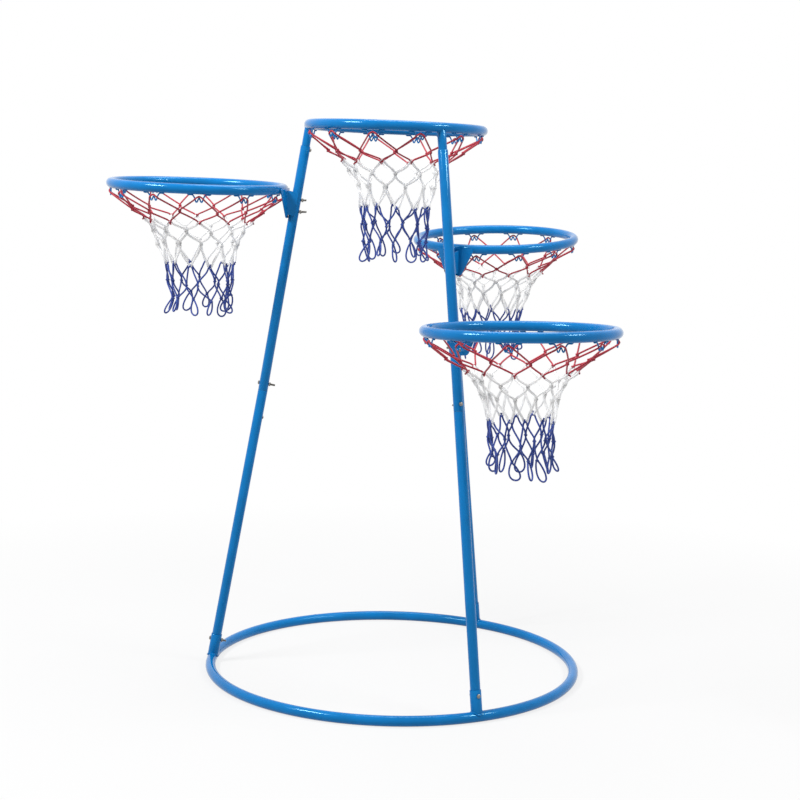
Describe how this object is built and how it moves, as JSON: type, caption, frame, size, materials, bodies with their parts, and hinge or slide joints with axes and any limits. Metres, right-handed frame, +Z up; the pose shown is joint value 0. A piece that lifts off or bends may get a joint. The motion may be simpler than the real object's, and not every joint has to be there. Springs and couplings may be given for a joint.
{
  "type": "multi-hoop basketball stand",
  "caption": "Free-standing tube stand on a floor ring, with a hoop held by its three leaning legs, a hoop bolted to each leg and a net hooked under each hoop.",
  "frame": {"origin": "on the floor, under the middle of the whole stand's bounding box", "axes": "+Z up; -Y towards the side from which the lowest hoop is nearest and the highest side hoop is on the left; +X to the right of that view"},
  "size_m": [1.3742, 1.5292, 1.5421],
  "materials": {
    "blue_paint": "gloss powder coat, mid blue",
    "zinc_steel": "zinc plated",
    "red_cord": "matt braided cord, red",
    "white_cord": "matt braided cord, white",
    "navy_cord": "matt braided cord, dark blue"
  },
  "bodies": {
    "root": {"base_ring": "blue_paint", "lower_leg_left": "blue_paint", "upper_leg_left": "blue_paint", "joint_sleeve_left": "zinc_steel", "lower_leg_front": "blue_paint", "upper_leg_front": "blue_paint", "joint_sleeve_front": "zinc_steel", "lower_leg_back": "blue_paint", "upper_leg_back": "blue_paint", "joint_sleeve_back": "zinc_steel", "top_hoop": "blue_paint", "left_hoop": "blue_paint", "left_bracket": "blue_paint", "front_hoop": "blue_paint", "front_bracket": "blue_paint", "back_hoop": "blue_paint", "back_bracket": "blue_paint", "socket_bolt_left": "zinc_steel", "socket_nut_left": "zinc_steel", "seam_bolt_left": "zinc_steel", "seam_nut_left": "zinc_steel", "stub_screw_left": "zinc_steel", "sleeve_rivet_left": "zinc_steel", "bracket_bolt_left_upper": "zinc_steel", "bracket_bolt_left_lower": "zinc_steel", "bracket_nut_left_upper": "zinc_steel", "bracket_nut_left_lower": "zinc_steel", "socket_bolt_front": "zinc_steel", "socket_nut_front": "zinc_steel", "seam_bolt_front": "zinc_steel", "seam_nut_front": "zinc_steel", "stub_screw_front": "zinc_steel", "sleeve_rivet_front": "zinc_steel", "bracket_bolt_front_upper": "zinc_steel", "bracket_bolt_front_lower": "zinc_steel", "bracket_nut_front_upper": "zinc_steel", "bracket_nut_front_lower": "zinc_steel", "socket_bolt_back": "zinc_steel", "socket_nut_back": "zinc_steel", "seam_bolt_back": "zinc_steel", "seam_nut_back": "zinc_steel", "stub_screw_back": "zinc_steel", "sleeve_rivet_back": "zinc_steel", "bracket_bolt_back_upper": "zinc_steel", "bracket_bolt_back_lower": "zinc_steel", "bracket_nut_back_upper": "zinc_steel", "bracket_nut_back_lower": "zinc_steel", "top_net_red": "red_cord", "top_net_white": "white_cord", "top_net_navy": "navy_cord", "left_net_red": "red_cord", "left_net_white": "white_cord", "left_net_navy": "navy_cord", "front_net_red": "red_cord", "front_net_white": "white_cord", "front_net_navy": "navy_cord", "back_net_red": "red_cord", "back_net_white": "white_cord", "back_net_navy": "navy_cord"}
  },
  "joints": []
}
